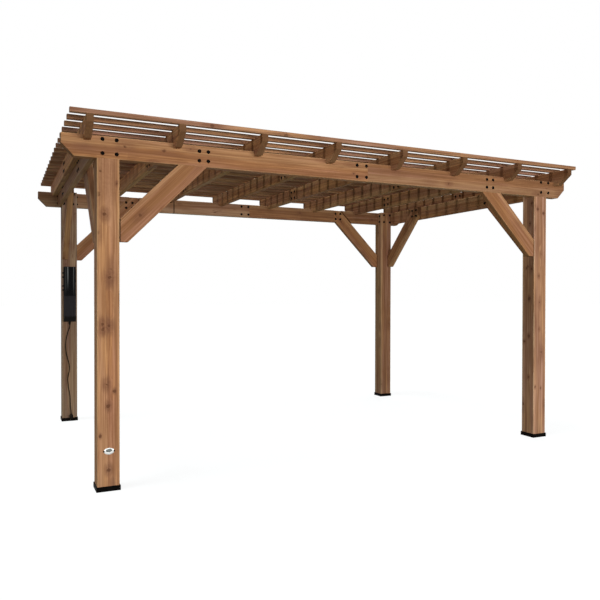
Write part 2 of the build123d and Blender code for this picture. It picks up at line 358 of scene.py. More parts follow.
class Finish:
    """The nodes of a material or a world while it is being made."""

    def __init__(self, name, kind="materials"):
        self.made = getattr(bpy.data, kind).new(name)
        self.made.use_nodes = True
        self.tree = self.made.node_tree
        self.tree.nodes.clear()

    def feed(self, socket, value):
        if isinstance(value, bpy.types.NodeSocket):
            self.tree.links.new(value, socket)
        elif socket.type == "RGBA" and len(value) == 3:
            socket.default_value = (*value, 1.0)
        else:
            socket.default_value = value

    def add(self, kind, inputs=None, **settings):
        node = self.tree.nodes.new(kind)
        for name, value in settings.items():
            setattr(node, name, value)
        for key, value in (inputs or {}).items():
            self.feed(node.inputs[key], value)
        return node

    def place(self):
        """The place in metres, which is the same for every solid and piece."""
        return self.add("ShaderNodeTexCoord").outputs["Object"]

    def parts(self, vector):
        """The X, Y and Z of a vector."""
        return self.add("ShaderNodeSeparateXYZ", {0: vector}).outputs

    def math(self, operation, first, second=0.0):
        return self.add("ShaderNodeMath", {0: first, 1: second}, operation=operation).outputs[0]

    def times(self, first, second):
        return self.math("MULTIPLY", first, second)

    def vector(self, operation, first, second=(0.0, 0.0, 0.0)):
        node = self.add("ShaderNodeVectorMath", {0: first, 1: second}, operation=operation)
        return node.outputs["Value" if operation in ("LENGTH", "DOT_PRODUCT") else "Vector"]

    def fade(self, value, start, stop, low=0.0, high=1.0):
        """A smooth step from low, where the value is at start, to high, where it is at stop."""
        inputs = {0: value, 1: start, 2: stop, 3: low, 4: high}
        return self.add("ShaderNodeMapRange", inputs, interpolation_type="SMOOTHSTEP").outputs[0]

    def noise(self, place, cells, detail=2.0, roughness=0.5, output=0):
        """Noise with a number of cells to the metre along each axis."""
        inputs = {"Vector": self.vector("MULTIPLY", place, cells), "Scale": 1.0}
        node = self.add("ShaderNodeTexNoise", {**inputs, "Detail": detail, "Roughness": roughness})
        return node.outputs[output]

    def mix(self, share, first, second):
        return self.add("ShaderNodeMix", {0: share, 6: first, 7: second}, data_type="RGBA").outputs[2]

    def bump(self, height, strength, distance):
        inputs = {"Strength": strength, "Distance": distance, "Height": height}
        return self.add("ShaderNodeBump", inputs).outputs[0]

    def surface(self, inputs):
        shader = self.add("ShaderNodeBsdfPrincipled", inputs)
        return self.close(shader.outputs[0])

    def close(self, shader, output="ShaderNodeOutputMaterial"):
        self.add(output, {"Surface": shader})
        return self.made


def half_sizes(node, *axes):
    """Half the size of a solid's box along each of the axes."""
    low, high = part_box(node)
    return tuple((high[axis] - low[axis]) / 2 for axis in axes)


def middle(node):
    """The middle of a solid's box."""
    low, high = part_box(node)
    return tuple((near + far) / 2 for near, far in zip(low, high))


def cut_knots(made, place, placed):
    """Knots, each a ball that the saw has cut through, with a halo drawn out along the grain; a placed halo
    with no knot is a patch of painted shade.
    """
    cells = made.vector("MULTIPLY", place, KNOT_CELLS)
    scattered = made.add("ShaderNodeTexVoronoi", {"Vector": cells, "Scale": 1.0}).outputs
    to_knot = made.vector("SUBTRACT", place, made.vector("DIVIDE", scattered["Position"], KNOT_CELLS))
    size_share = made.add("ShaderNodeSeparateColor", {0: scattered["Color"]}).outputs[0]
    radius = made.fade(size_share, 0.15, 1.0, *KNOT_RADII)
    wobble = made.noise(place, *GRAIN["wobble"])
    ragged = made.math("ADD", wobble, 0.4)
    gap = made.math("DIVIDE", made.vector("LENGTH", to_knot), made.times(radius, ragged))
    drawn = made.vector("LENGTH", made.vector("MULTIPLY", to_knot, SCATTERED_DRAW))
    halo = made.fade(made.math("DIVIDE", drawn, made.math("ADD", radius, 0.001)), 3.3, 1.0, 0.0, 0.6)
    for spot, knot_size, halo_and_shade_size, strength in placed:
        to_knot = made.vector("SUBTRACT", place, spot)
        spot_gap = made.math("DIVIDE", made.vector("LENGTH", to_knot), made.times(ragged, knot_size))
        gap = made.math("MINIMUM", gap, spot_gap)
        drawn = made.vector("LENGTH", made.vector("MULTIPLY", to_knot, PLACED_DRAW))
        stain_and_shade = made.fade(drawn, 3.3 * halo_and_shade_size, 0.6 * halo_and_shade_size, 0.0, strength)
        halo = made.math("MAXIMUM", halo, stain_and_shade)
    ring = made.math("FRACT", made.times(gap, 3.5))
    knot = made.times(made.fade(gap, 1.0, 0.75), made.fade(ring, 0.1, 0.9, 0.48, 0.78))
    rim = made.times(made.fade(gap, 1.35, 0.95), made.fade(gap, 0.6, 0.9))
    return knot, rim, halo, wobble


def grow_rings(made, place, pith, spacing, halo):
    """Growth rings round a pith that wanders along the length, pushed out by the knots."""
    wander = made.vector("SUBTRACT", made.noise(place, *GRAIN["wander"], output=1), (0.5, 0.5, 0.5))
    swayed = made.vector("ADD", place, made.vector("MULTIPLY", wander, (0.0, PITH_SWAY, PITH_SWAY)))
    from_pith = made.vector("SUBTRACT", swayed, (0.0, *pith))
    from_pith = made.vector("LENGTH", made.vector("MULTIPLY", from_pith, (0.0, 1.0, 1.0)))
    radius = made.math("ADD", from_pith, made.times(halo, KNOT_PUSH))
    late_line = made.math("POWER", made.math("FRACT", made.math("DIVIDE", radius, spacing)), 3.0)
    inputs = {"W": made.math("DIVIDE", radius, BAND_WIDTH), "Scale": 1.0, "Detail": 2.0}
    band = made.add("ShaderNodeTexNoise", inputs, noise_dimensions="1D").outputs[0]
    return radius, late_line, band


def split_wood(made, place):
    """Drying checks: thin dark lines along the grain, in patches."""
    line = made.math("SUBTRACT", made.noise(place, *GRAIN["split"]), 0.5)
    split = made.fade(made.math("ABSOLUTE", line), 0.010, 0.003)
    return made.times(split, made.fade(made.noise(place, *GRAIN["split_patch"]), 0.60, 0.68))


def wear_and_highlight_edges(made, place, half, rub):
    """The paler long edges of a timber with the given half sizes, partly rubbed wear and partly a painted
    highlight.
    """
    sides = made.parts(made.vector("ABSOLUTE", place))
    edge_gap = made.math("SUBTRACT", sum(half), made.math("ADD", sides[1], sides[2]))
    pale_band = 0.2 * min(half)
    return made.times(made.fade(edge_gap, pale_band, 0.2 * pale_band), made.fade(rub, 0.30, 0.60))


def timber(
    name, turn, centre, half, pith, seed, tone=1.0, row_pitch=0.0, seam=None, grey=0.0, knots=(),
    end_share=0.85, contrast=1.0, dusty=False,
):
    """Stained softwood whose length, turned to X, carries rings, streaks, knots, sapwood, paler edges that
    are partly wear and partly a painted highlight, and painted shade where asked.
    """
    look = bpy.context.scene.pergola_timber
    tint = (tone * (1.0 - 0.22 * grey), tone, tone * (1.0 + 0.35 * grey))
    light, rosy, dark, late, sapwood, end_grain = (
        tuple(min(1.0, part * share) for part, share in zip(colour, tint))
        for colour in (look.light, look.rosy, look.dark, look.late, look.sapwood, look.end_grain)
    )
    between = Vector(light) * 0.72
    light, dark = (between.lerp(Vector(colour), contrast).to_tuple() for colour in (light, dark))
    made = Finish(name)
    turned = Euler(turn).to_matrix()
    along = turned.transposed() @ Vector((1, 0, 0))
    shift = -(turned @ Vector(centre)) + Vector((SEED_SHIFT * seed, 0, 0))
    world = made.place()
    place = made.add("ShaderNodeMapping", {"Vector": world, "Location": shift, "Rotation": turn}).outputs[0]
    row_tone = 0.5
    if row_pitch:
        row = made.math("ROUND", made.math("DIVIDE", made.parts(place)[1], row_pitch))
        step = {0: made.times(row, ROW_SHIFT), 1: made.times(row, -row_pitch)}
        place = made.vector("ADD", place, made.add("ShaderNodeCombineXYZ", step).outputs[0])
        row_tone = made.add("ShaderNodeTexWhiteNoise", {"W": row}, noise_dimensions="1D").outputs[0]

    placed = [(tuple(turned @ Vector(spot) + shift), *sizes) for spot, *sizes in knots]
    knot, knot_rim, halo, wobble = cut_knots(made, place, placed)
    radius, late_line, band = grow_rings(made, place, pith, look.ring_spacing, halo)
    split = split_wood(made, place)
    streak, broad, blotch, line, fibre, rub = (
        made.noise(place, *GRAIN[kind]) for kind in ("streak", "broad", "blotch", "line", "fibre", "rub")
    )
    edge = wear_and_highlight_edges(made, place, half, rub)
    blush = made.fade(made.noise(place, *GRAIN["blush"]), 0.40, 0.60)
    mass = made.times(band, 0.65)
    for part, weight in ((streak, 1.2), (broad, 0.40), (blotch, 0.45), (row_tone, 0.35)):
        mass = made.math("ADD", mass, made.times(part, weight))
    grain = made.fade(mass, 1.28, 1.78)
    sap_edge = made.math("ADD", radius, made.times(wobble, SAP_WOBBLE))
    sap = made.fade(sap_edge, look.sap_radius, look.sap_radius + SAP_FADE)
    normal = made.add("ShaderNodeNewGeometry").outputs["Normal"]
    facing = made.math("ABSOLUTE", made.vector("DOT_PRODUCT", normal, tuple(along)))
    end = made.fade(facing, 0.45, 0.62)
    stained_and_shaded = made.times(halo, made.fade(streak, 0.30, 0.60, 1.0, 0.75))
    stained_and_shaded = made.times(stained_and_shaded, made.fade(wobble, 0.30, 0.65, 0.75, 1.0))

    # Layers of colour from the bare grain up: the share of each, and its colour
    layers = [
        (made.times(late_line, 0.34), late),
        (made.times(sap, 0.35), sapwood),
        (made.fade(line, 0.60, 0.36, 0.0, 0.55), late),
        # Knot halos, and a placed patch of painted shade
        (stained_and_shaded, look.halo),
        (knot, look.knot),
        (made.times(knot_rim, 0.35), look.knot),
        (made.times(split, 0.7), look.knot),
        # Paler edges: partly wear, partly a painted highlight
        (made.times(edge, look.edge_wear_and_highlight), sapwood),
        (made.times(end, end_share), end_grain),
        (made.fade(fibre, 0.3, 0.7, 0.0, 0.16), dark),
    ]
    # Dark line at a joint; on the braces beside the posts it is painted shade
    if seam:
        across_seam, seam_place, seam_half = seam
        seam_gap = made.math("SUBTRACT", made.vector("DOT_PRODUCT", world, across_seam), seam_place)
        seam_and_shade_line = made.fade(made.math("ABSOLUTE", seam_gap), seam_half, seam_half * 0.4)
        layers.append((made.times(seam_and_shade_line, 0.9), look.seam))
    if dusty:
        dust = made.times(made.fade(made.parts(world)[2], DUST_TOP, DUST_FULL), made.fade(rub, 0.35, 0.75))
        layers.append((made.times(dust, look.foot_dust), TIMBER_DUST))
    colour = made.mix(grain, dark, made.mix(blush, light, rosy))
    for share, layer in layers:
        colour = made.mix(share, colour, layer)

    relief = made.math("ADD", made.times(late_line, 0.5), made.times(fibre, 0.5))
    relief = made.math("SUBTRACT", relief, made.times(split, 1.6))
    relief = made.math("SUBTRACT", relief, made.times(knot_rim, 0.6))
    rough = made.math("ADD", made.fade(grain, 0.0, 1.0, 0.66, 0.80), made.times(end, 0.12))
    return made.surface({
        "Base Color": colour, "Roughness": rough, "Specular IOR Level": 0.05,
        "Normal": made.bump(relief, 0.35, 0.0012),
    })


def coated_steel(name):
    """Black powder coat on steel, with orange peel, dust and a few rubbed spots."""
    look = bpy.context.scene.pergola_hardware
    made = Finish(name)
    place = made.place()
    dust = made.noise(place, (22.0, 22.0, 60.0), 4.0, 0.6)
    peel = made.noise(place, (900.0, 900.0, 900.0), 1.0)
    scuff = made.fade(made.noise(place, (70.0, 70.0, 70.0), 4.0, 0.7), 0.62, 0.74)
    colour = made.mix(made.fade(dust, 0.45, 0.8, 0.0, 0.25), look.black, STEEL_DUST)
    colour = made.mix(made.times(scuff, 0.15), colour, STEEL_SCUFF)
    return made.surface({
        "Base Color": colour, "Roughness": made.fade(dust, 0.3, 0.8, 0.45, 0.70),
        "Specular IOR Level": 0.015, "Normal": made.bump(peel, 0.2, 0.0004),
    })


def moulded_plastic(name, tint, roughness, specular, dark_below=None, painted_highlight_lines=()):
    """Black moulded plastic with a fine grain, dust, rain streaks, darker lips and painted highlight lines.
    """
    look = bpy.context.scene.pergola_hardware
    made = Finish(name)
    place = made.place()
    streak = made.noise(place, (90.0, 90.0, 5.0), 3.0)
    dust = made.noise(place, (14.0, 14.0, 14.0), 3.0)
    grain = made.noise(place, (1400.0, 1400.0, 1400.0), 1.0)
    paler = tuple(part * 2.6 for part in tint)
    colour = made.mix(made.fade(streak, 0.45, 0.75, 0.0, 0.6), tuple(tint), paler)
    colour = made.mix(made.fade(dust, 0.5, 0.8, 0.0, 0.2), colour, PLASTIC_DUST)
    spot = made.parts(place)
    if dark_below:
        colour = made.mix(made.fade(spot[2], dark_below + 0.001, dark_below - 0.001), colour, look.black)
    # Painted highlights: pale lines that stand in for reflections of light on the glossy cover
    for line_x, line_half, fade_from, fade_to, highlight_level in painted_highlight_lines:
        line_gap = made.math("ABSOLUTE", made.math("SUBTRACT", spot[0], line_x))
        share = made.times(made.fade(line_gap, line_half, 0.0), made.fade(spot[2], fade_from, fade_to))
        share = made.times(share, made.fade(streak, 0.2, 0.6, 0.5, 1.0))
        colour = made.mix(share, colour, (highlight_level, highlight_level, highlight_level))
    return made.surface({
        "Base Color": colour, "Roughness": made.fade(streak, 0.3, 0.7, roughness, roughness + 0.14),
        "Specular IOR Level": specular, "Normal": made.bump(grain, 0.15, 0.0003),
    })


def bright_metal(name, colour, roughness, metallic):
    """Plated or brushed metal with fine lines and dull patches."""
    made = Finish(name)
    place = made.place()
    lines = made.noise(place, (30.0, 1600.0, 1600.0), 2.0)
    patch = made.noise(place, (60.0, 60.0, 60.0), 3.0)
    duller = tuple(part * 0.55 for part in colour)
    return made.surface({
        "Base Color": made.mix(made.fade(patch, 0.4, 0.75, 0.0, 0.7), tuple(colour), duller),
        "Metallic": metallic, "Roughness": made.fade(patch, 0.35, 0.75, roughness, roughness + 0.2),
        "Normal": made.bump(lines, 0.12, 0.0002),
    })


def rubber(name):
    """Black rubber jacket with dust and a fine grain."""
    made = Finish(name)
    place = made.place()
    dust = made.noise(place, (40.0, 40.0, 12.0), 3.0)
    grain = made.noise(place, (1200.0, 1200.0, 1200.0), 1.0)
    return made.surface({
        "Base Color": made.mix(made.fade(dust, 0.42, 0.75, 0.0, 0.4), RUBBER_BLACK, RUBBER_DUST),
        "Roughness": made.fade(dust, 0.3, 0.7, 0.5, 0.72), "Specular IOR Level": 0.05,
        "Normal": made.bump(grain, 0.2, 0.0003),
    })


def paint(node, material):
    """Gives a solid of the frame its finish."""
    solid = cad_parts[node]
    if not solid.material_slots:
        raise RuntimeError(f"{node} has no place for a material")
    for place in solid.material_slots:
        place.material = material


def keep(name, form, materials):
    """Turns a finished mesh in progress into a piece of the pergola."""
    mesh = bpy.data.meshes.new(name)
    bmesh.ops.recalc_face_normals(form, faces=form.faces)
    form.to_mesh(mesh)
    form.free()
    if not mesh.polygons:
        raise RuntimeError(f"{name} came out empty")
    piece = bpy.data.objects.new(name, mesh)
    bpy.context.scene.collection.objects.link(piece)
    for material in materials:
        mesh.materials.append(material)
    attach(piece, "root")
    return piece


def facing_out(place, outward):
    """The placement of a fastener that sits at a point and looks outward."""
    turn = Vector((0, 0, 1)).rotation_difference(Vector(outward)).to_matrix().to_4x4()
    return Matrix.Translation(Vector(place)) @ turn


def lathe(form, placement, profile, sides=20, across=(1.0, 1.0), material=0, smooth=True):
    """Turns a profile of (radius, height) pairs about its axis, and closes it where the radius is zero."""
    rings = []
    for radius, height in profile:
        if radius == 0:
            rings.append([form.verts.new(placement @ Vector((0, 0, height)))])
            continue
        ring = []
        for number in range(sides):
            angle = 2 * math.pi * number / sides
            spot = (across[0] * radius * math.cos(angle), across[1] * radius * math.sin(angle), height)
            ring.append(form.verts.new(placement @ Vector(spot)))
        rings.append(ring)
    for below, above in zip(rings, rings[1:]):
        for number in range(sides):
            after = (number + 1) % sides
            if len(above) == 1:
                corners = (below[number], below[after], above[0])
            else:
                corners = (below[number], below[after], above[after], above[number])
            face = form.faces.new(corners)
            face.material_index = material
            face.smooth = smooth


def domed_head(form, place, outward):
    """Domed head of a carriage bolt, with a thin flat brim."""
    look = bpy.context.scene.pergola_hardware
    radius = look.bolt_head / 2
    rise = look.bolt_height
    brim_share = 0.22
    dome = [
        (radius * math.cos(turn), rise * (brim_share + (1 - brim_share) * math.sin(turn)))
        for turn in (0.0, 0.25, 0.5, 0.8, 1.1, 1.35)
    ]
    lathe(form, facing_out(place, outward), [(radius, -SUNK), *dome, (0, rise)])


def nut_and_washer(form, place, outward):
    """Washer, hexagon nut with eased corners, and the end of the bolt."""
    look = bpy.context.scene.pergola_hardware
    placement = facing_out(place, outward)
    washer = look.washer / 2
    nut = look.nut / math.sqrt(3)
    thread = look.nut * 0.29
    ease = 0.0006
    lead = 0.0010
    washer_top = 0.0018
    nut_top = 0.0092
    thread_top = 0.0136
    disc = [(washer, -SUNK), (washer, washer_top - ease), (washer - ease, washer_top)]
    lathe(form, placement, [*disc, (nut * 0.7, washer_top)], 24)
    hexagon = [(nut, washer_top), (nut, nut_top - 2 * ease), (nut * 0.9, nut_top), (thread, nut_top)]
    lathe(form, placement, hexagon, 6, smooth=False)
    groove = [(thread, nut_top), (thread, nut_top + 2 * ease), (thread * 0.9, nut_top + 3 * ease)]
    tip = [(thread, nut_top + 4 * ease), (thread, thread_top - lead), (thread * 0.75, thread_top)]
    lathe(form, placement, [*groove, *tip, (0, thread_top)], 14)


def bolt(form, head, nut, outward):
    """Carriage bolt from its head, which looks outward, to the nut on the far face."""
    domed_head(form, head, outward)
    nut_and_washer(form, nut, [-part for part in outward])


def screw(form, place, outward, material=0, scale=1.0):
    """Low screw head with a round socket."""
    radius = bpy.context.scene.pergola_hardware.screw_head / 2 * scale
    placement = facing_out(place, outward)
    sunk = 0.0030
    brim = 0.0008
    crown = 0.0018
    floor = 0.0003
    slope = 0.0001
    head = [(radius, -sunk), (radius, brim), (radius * 0.85, crown - slope), (radius * 0.5, crown)]
    lathe(form, placement, head, 16, material=material)
    socket = [(radius * 0.5, crown), (radius * 0.44, floor + slope), (0, floor)]
    lathe(form, placement, socket, 16, material=material, smooth=False)


class PergolaPosts(bpy.types.Operator):
    """Finish the four posts"""

    bl_idname = "pergola.finish_posts"
    bl_label = "Finish Posts"

    def execute(self, context):
        # Place of the pith in the section, tone and greyness of each post
        stock = {
            "front_left_post": ((0.020, -0.012), 1.24, 0.0),
            "front_right_post": ((-0.026, 0.010), 1.55, 0.6),
            "rear_left_post": ((0.014, 0.022), 1.10, 1.0),
            "rear_right_post": ((-0.012, -0.024), 1.16, 0.35),
        }
        for number, (node, (pith, tone, grey)) in enumerate(stock.items()):
            paint(node, timber(
                f"{node}_timber", UPRIGHT, middle(node), half_sizes(node, 0, 1), pith,
                SEEDS["post"] + number, tone, grey=grey, knots=KNOTS.get(node, ()), dusty=True,
            ))
        return {"FINISHED"}


class PergolaBeams(bpy.types.Operator):
    """Finish the long beams and the side beams"""

    bl_idname = "pergola.finish_beams"
    bl_label = "Finish Beams"

    def execute(self, context):
        # Turn and thin axis, place of the pith in the section, tone and greyness of each beam
        stock = {
            "front_beam_left": (LENGTHWISE, 1, (0.030, -0.058), 1.06, 0.0),
            "front_beam_right": (LENGTHWISE, 1, (0.026, 0.064), 0.91, 0.15),
            "rear_beam_left": (LENGTHWISE, 1, (0.034, 0.050), 1.14, 0.6),
            "rear_beam_right": (LENGTHWISE, 1, (-0.030, -0.060), 0.96, 0.2),
            "left_side_beam": (CROSSWISE, 0, (0.040, 0.030), 0.84, 0.0),
            "right_side_beam": (CROSSWISE, 0, (-0.036, -0.044), 0.97, 0.0),
        }
        seams = {"rear_beam_left": ((1, 0, 0), BEAM_SEAM_X, BEAM_SEAM)}
        for number, (node, (turn, thin_axis, pith, tone, grey)) in enumerate(stock.items()):
            paint(node, timber(
                f"{node}_timber", turn, middle(node), half_sizes(node, thin_axis, 2), pith,
                SEEDS["beam"] + number, tone, seam=seams.get(node), grey=grey, knots=KNOTS.get(node, ()),
                end_share=0.35, contrast=0.75,
            ))
        return {"FINISHED"}


class PergolaBraces(bpy.types.Operator):
    """Finish the eight knee braces"""

    bl_idname = "pergola.finish_braces"
    bl_label = "Finish Braces"

    def execute(self, context):
        for number, (corner, (side, end)) in enumerate(CORNERS.items()):
            node = f"{corner}_long_brace"
            foot = (side * POST_INNER_X, middle(node)[1], BRACE_AXIS_AT_POST)
            lean = (0, math.radians(135 if side > 0 else 45), 0)
            # The dark line where the long brace meets the post is painted shade
            paint(node, timber(
                f"{node}_timber", lean, foot, (*half_sizes(node, 1), BRACE_WIDTH / 2),
                (LONG_BRACE_PITH[0] * end, LONG_BRACE_PITH[1] * side), SEEDS["long_brace"] + number,
                1.02 + 0.03 * (number % 2), seam=((side, 0, 0), POST_INNER_X, LONG_BRACE_SHADE_LINE), contrast=0.5,
            ))
            node = f"{corner}_side_brace"
            foot = (middle(node)[0], end * POST_INNER_Y, BRACE_AXIS_AT_POST)
            lean = (math.radians(-45 * end), math.radians(90), 0)
            # The dark line where the side brace meets the post is painted shade
            paint(node, timber(
                f"{node}_timber", lean, foot, (BRACE_WIDTH / 2, *half_sizes(node, 0)),
                (SIDE_BRACE_PITH[0], SIDE_BRACE_PITH[1] * side), SEEDS["side_brace"] + number,
                0.97, seam=((0, end, 0), POST_INNER_Y, SIDE_BRACE_SHADE_LINE),
            ))
        return {"FINISHED"}


class PergolaRafters(bpy.types.Operator):
    """Finish both lapped pieces of the eight rafters"""

    bl_idname = "pergola.finish_rafters"
    bl_label = "Finish Rafters"

    def execute(self, context):
        for number in range(RAFTER_COUNT):
            for piece, end in (("front", -1), ("rear", 1)):
                node = f"rafter_{number + 1}_{piece}"
                order = 2 * number + (end > 0)
                pith = (RAFTER_PITH[0] * (-1) ** number, RAFTER_PITH[1] * end * (-1) ** (number // 2))
                # Painted shade: the tone falls from the left rafter to the right one for weaker light on the
                # right, and varies a little from piece to piece
                tone = 1.05 - 0.03 * number + 0.10 * ((GOLDEN_SHARE * order) % 1.0)
                paint(node, timber(
                    f"{node}_timber", CROSSWISE, middle(node), half_sizes(node, 0, 2), pith,
                    SEEDS["rafter"] + order, tone,
                ))
        return {"FINISHED"}


class PergolaSlats(bpy.types.Operator):
    """Finish the roof slats"""

    bl_idname = "pergola.finish_slats"
    bl_label = "Finish Slats"

    def execute(self, context):
        for number, node in enumerate(("slats_1_to_9", "slats_10_to_18")):
            along, _, height = middle(node)
            first = (along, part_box(node)[0][1] + SLAT_WIDTH / 2, height)
            paint(node, timber(
                f"{node}_timber", LENGTHWISE, first, (SLAT_WIDTH / 2, *half_sizes(node, 2)), SLAT_PITH,
                SEEDS["slat"] + SLAT_GROUP_STEP * number, tone=1.25, row_pitch=SLAT_PITCH, grey=0.5,
            ))
        return {"FINISHED"}


class PergolaBoots(bpy.types.Operator):
    """Finish the boots under the posts"""

    bl_idname = "pergola.finish_boots"
    bl_label = "Finish Boots"

    def execute(self, context):
        coat = coated_steel("boot_powder_coat")
        for corner in CORNERS:
            paint(f"{corner}_boot", coat)
        return {"FINISHED"}


class PergolaPowerBox(bpy.types.Operator):
    """Finish the power box and its cover, and fit the black lugs beside it"""

    bl_idname = "pergola.finish_power_box"
    bl_label = "Finish Power Box"

    def execute(self, context):
        look = context.scene.pergola_hardware
        lips_top = BOX_LOW[2] + LIPS_HEIGHT
        paint("power_box", moulded_plastic("box_plastic", look.plastic, 0.46, 0.05, dark_below=lips_top))
        # The cover's pale lines are painted highlights
        cover = moulded_plastic("cover_plastic", look.gloss, 0.26, 0.012, painted_highlight_lines=PAINTED_HIGHLIGHT_LINES)
        paint("power_cover", cover)
        form = bmesh.new()
        side = [(1.0, -0.001), (1.0, 0.0075), (0.90, 0.0095)]
        hollow = [(0.55, 0.0105), (0.45, 0.0090), (0, 0.0090)]
        for drop in LUG_DROPS:
            place = (BOX_LOW[0] - LUG_GAP, POST_INNER_Y, BOX_HIGH[2] - drop)
            lathe(form, facing_out(place, (0, -1, 0)), [*side, *hollow], across=LUG_RADII)
        keep("box_lugs", form, [coated_steel("lug_black")])
        return {"FINISHED"}


class PergolaCord(bpy.types.Operator):
    """Hang the cord from its strain relief down to its plug"""

    bl_idname = "pergola.hang_cord"
    bl_label = "Hang Cord"

    def execute(self, context):
        look = context.scene.pergola_hardware
        jacket = rubber("cord_jacket")
        line = bpy.data.curves.new("hanging_cord", "CURVE")
        line.dimensions = "3D"
        line.bevel_depth = look.cord / 2
        line.bevel_resolution = 5
        line.resolution_u = 12
        line.use_fill_caps = True
        run = line.splines.new("NURBS")
        run.points.add(len(CORD_ROUTE) - 1)
        for point, place in zip(run.points, CORD_ROUTE):
            point.co = (*place, 1.0)
        run.order_u = 3
        run.use_endpoint_u = True
        line.materials.append(jacket)
        cord = bpy.data.objects.new("hanging_cord", line)
        context.scene.collection.objects.link(cord)
        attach(cord, "root")
        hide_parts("cord")
        paint("plug", jacket)
        paint("cord_gland", jacket)
        return {"FINISHED"}


class PergolaBolts(bpy.types.Operator):
    """Fit the carriage bolts with their washers and nuts"""

    bl_idname = "pergola.fit_bolts"
    bl_label = "Fit Bolts"

    def execute(self, context):
        coat = coated_steel("bolt_black")
        groups = {f"{kind}_bolts": bmesh.new() for kind in ("post", "splice", "brace", "rafter")}
        for end in (-1, 1):
            for along, height in itertools.product(*SPLICE_BOLTS):
                head = (along, end * BEAM_OUTER_Y, height)
                bolt(groups["splice_bolts"], head, (along, end * BEAM_INNER_Y, height), (0, end, 0))
        for corner, (side, end) in CORNERS.items():
            self.bolt_post(groups["post_bolts"], corner, side, end)
            self.bolt_braces(groups["brace_bolts"], corner, side, end)
        for number in range(1, RAFTER_COUNT + 1):
            self.bolt_lap(groups["rafter_bolts"], number)
        for name, form in groups.items():
            keep(name, form, [coat])
        return {"FINISHED"}

    def bolt_post(self, form, corner, side, end):
        """Bolts of one post, where one that lies past the post has a head only."""
        for along, height in itertools.product(*POST_BOLTS[corner]):
            domed_head(form, (along, end * BEAM_OUTER_Y, height), (0, end, 0))
            if abs(along) < POST_OUTER_X:
                nut_and_washer(form, (along, end * POST_INNER_Y, height), (0, -end, 0))
        for across, height in itertools.product(*SIDE_POST_BOLTS):
            head = (side * SIDE_BEAM_OUTER_X, end * across, height)
            bolt(form, head, (side * POST_INNER_X, end * across, height), (side, 0, 0))

    def bolt_braces(self, form, corner, side, end):
        """Bolts of the two braces of one post, with nuts on the tongue or on the beam beside it."""
        for along, height in itertools.product(*BRACE_BOLTS[corner]):
            on_brace = POST_INNER_X - abs(along) > height - BRACE_TOP_AT_POST
            depth = TONGUE_INNER_Y if on_brace else BEAM_INNER_Y
            head = (along, end * BEAM_OUTER_Y, height)
            bolt(form, head, (along, end * depth, height), (0, end, 0))
        for across, height in itertools.product(*SIDE_BRACE_BOLTS):
            head = (side * SIDE_BEAM_OUTER_X, end * across, height)
            bolt(form, head, (side * SIDE_BRACE_INNER_X, end * across, height), (side, 0, 0))

    def bolt_lap(self, form, number):
        """Bolts through the lap of one rafter."""
        low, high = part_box(f"rafter_{number}_front")
        lap = (high[1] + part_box(f"rafter_{number}_rear")[0][1]) / 2
        level = (low[2] + high[2]) / 2
        for across, rise in itertools.product(*LAP_BOLTS):
            spot = (lap + across, level + rise)
            bolt(form, (low[0], *spot), (high[0], *spot), (-1, 0, 0))


class PergolaSlatScrews(bpy.types.Operator):
    """Drive a screw through each slat into each rafter"""

    bl_idname = "pergola.drive_slat_screws"
    bl_label = "Drive Slat Screws"

    def execute(self, context):
        coat = coated_steel("slat_screw_coat")
        form = bmesh.new()
        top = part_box("slats_1_to_9")[1][2]
        for row in range(SLAT_COUNT):
            for number in range(1, RAFTER_COUNT + 1):
                along = middle(f"rafter_{number}_front")[0]
                screw(form, (along, FIRST_SLAT_Y + row * SLAT_PITCH, top), (0, 0, 1))
        keep("slat_screws", form, [coat])
        return {"FINISHED"}


class PergolaPlate(bpy.types.Operator):
    """Fix the bare oval plate to the front left post"""

    bl_idname = "pergola.fix_plate"
    bl_label = "Fix Plate"

    def execute(self, context):
        look = context.scene.pergola_hardware
        rim = bright_metal("plate_rim_metal", look.plate_rim, 0.38, 0.6)
        field = bright_metal("plate_field_enamel", look.plate_field, 0.45, 0.1)
        form = bmesh.new()
        face_y = FRONT_Y - PLATE_FACE
        half_length = look.plate_length / 2
        half_height = look.plate_height / 2
        placement = facing_out((PLATE_X, FRONT_Y, PLATE_Z), (0, -1, 0))
        edge = [(1.0, -0.0005), (1.0, 0.0012), (0.985, 0.0022), (0.95, PLATE_FACE)]
        lathe(form, placement, [*edge, (0.5, 0.0028), (0, 0.0028)], 48, (half_length, half_height))
        placement = facing_out((PLATE_X, face_y, PLATE_Z + 0.25 * half_height), (0, -1, 0))
        panel = [(1.0, -0.0005), (1.0, 0.0004), (0.96, 0.0008), (0.4, 0.0009), (0, 0.0009)]
        lathe(form, placement, panel, 48, (0.64 * half_length, 0.52 * half_height), material=1)
        for side in (-1, 1):
            place = (PLATE_X + side * half_length * 0.95, face_y, PLATE_Z)
            screw(form, place, (0, -1, 0), material=2, scale=1.2)
        keep("oval_plate", form, [rim, field, coated_steel("plate_screw_coat")])
        return {"FINISHED"}


